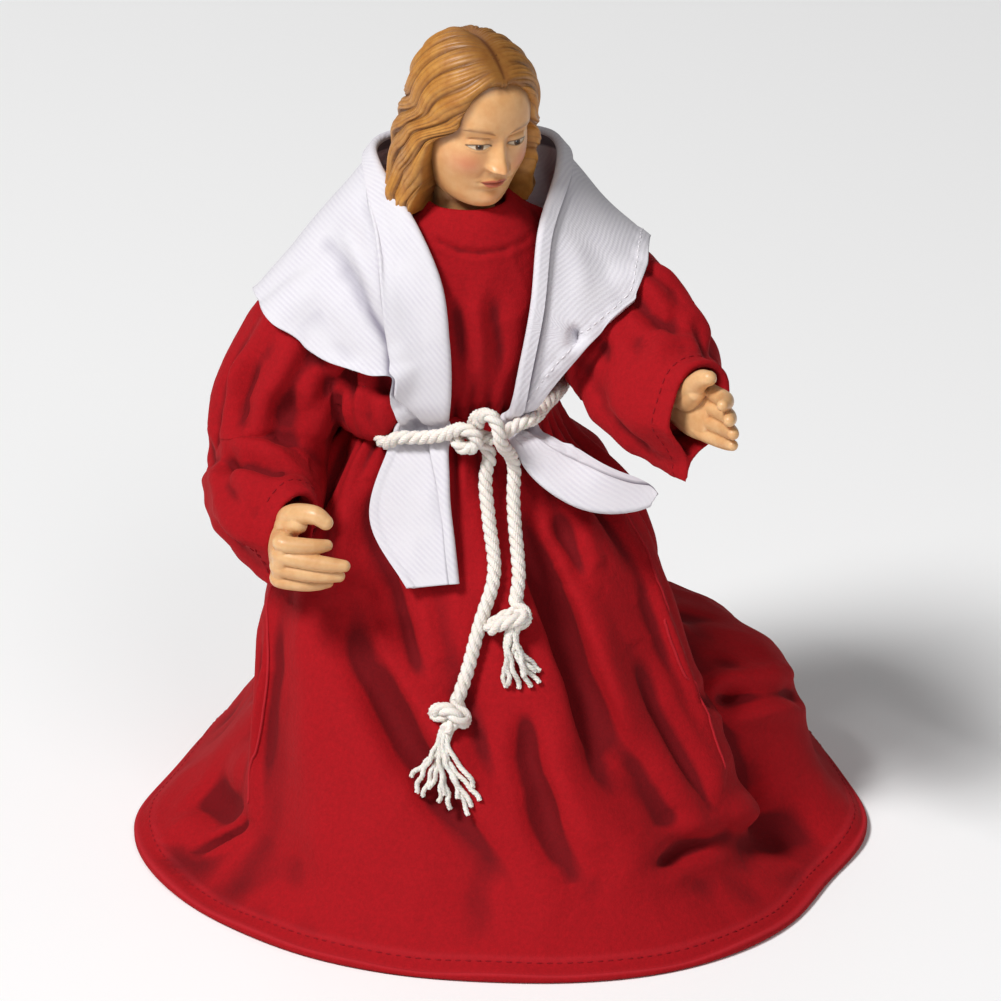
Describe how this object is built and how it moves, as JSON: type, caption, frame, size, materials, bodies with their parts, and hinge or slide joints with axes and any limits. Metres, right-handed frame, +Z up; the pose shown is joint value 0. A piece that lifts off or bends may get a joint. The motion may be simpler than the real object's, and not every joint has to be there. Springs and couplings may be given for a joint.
{
  "type": "presepe figure",
  "caption": "Kneeling nativity figure with carved wooden head and hands, a spread cloth dress, a shawl and a knotted, tasselled rope belt.",
  "frame": {"origin": "middle of the skirt's underside, on the ground the figure kneels on", "axes": "+Z up, -Y the way the figure faces, -X the figure's own right hand"},
  "size_m": [0.1115, 0.1049, 0.1307],
  "materials": {
    "dress_cloth": "matt woven cloth, dark red",
    "shawl_cloth": "white twill",
    "cord_cotton": "twisted white cotton",
    "painted_wood": "carved, stained and glazed, satin"
  },
  "bodies": {
    "root": {"dress": "dress_cloth", "shawl": "shawl_cloth", "head": "painted_wood", "right_hand": "painted_wood", "left_hand": "painted_wood", "belt": "cord_cotton", "long_cord_end": "cord_cotton", "short_cord_end": "cord_cotton", "long_tassel": "cord_cotton", "short_tassel": "cord_cotton"}
  },
  "joints": []
}
